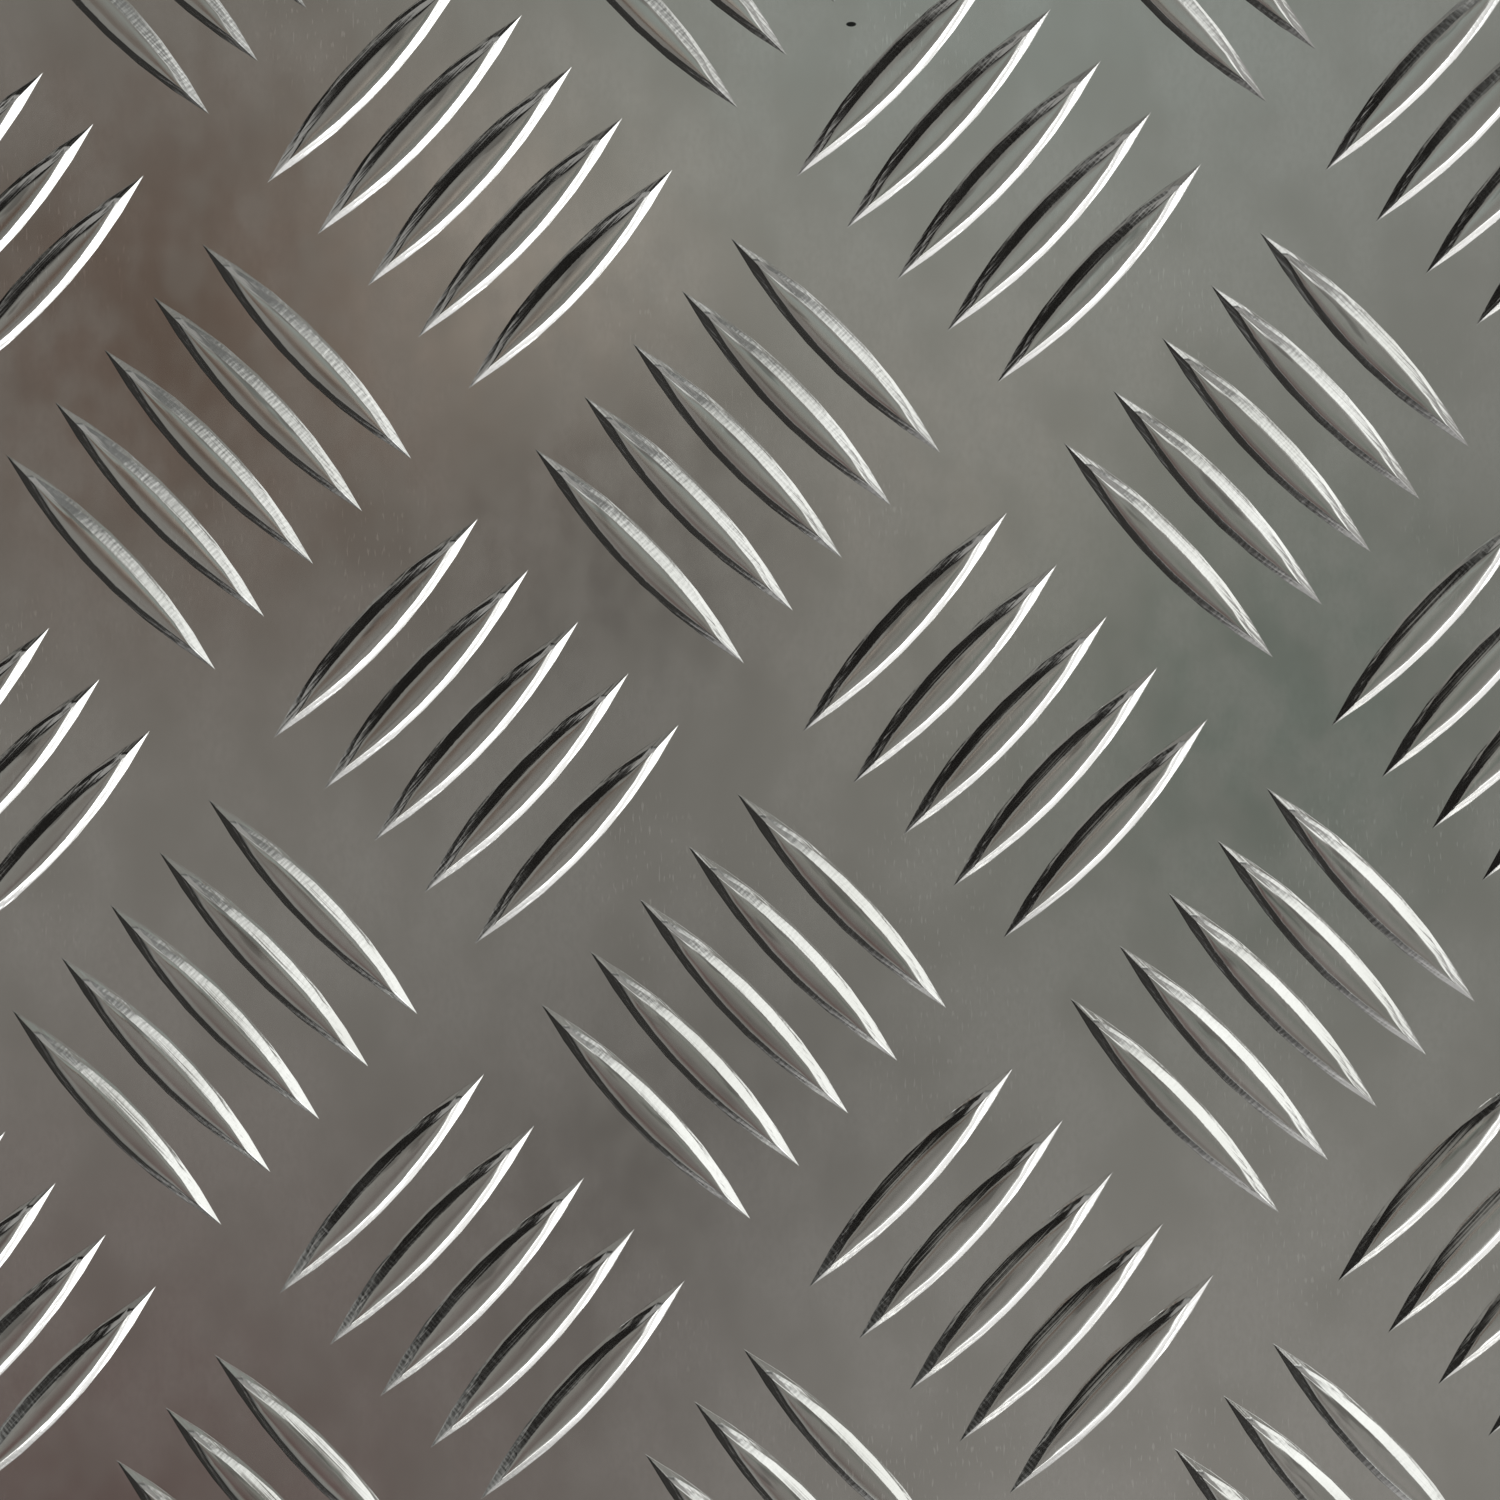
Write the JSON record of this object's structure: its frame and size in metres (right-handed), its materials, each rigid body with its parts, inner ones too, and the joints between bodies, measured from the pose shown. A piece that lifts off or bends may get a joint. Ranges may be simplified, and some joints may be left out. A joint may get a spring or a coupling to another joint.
{
  "type": "aluminium tread plate",
  "caption": "Flat rolled aluminium sheet with raised anti-slip bars in crossed groups on its top face and a plain underside, cut square on all sides.",
  "frame": {"origin": "centre of the flat underside", "axes": "+Z out of the patterned face, +Y along the sheet's length and the rolling direction, +X across it"},
  "size_m": [0.2, 0.3, 0.002],
  "materials": {
    "mill_aluminium": "mill finish, satin on the flats and brighter on the bars' flanks and crowns"
  },
  "bodies": {
    "root": {"tread_plate": "mill_aluminium"}
  },
  "joints": []
}
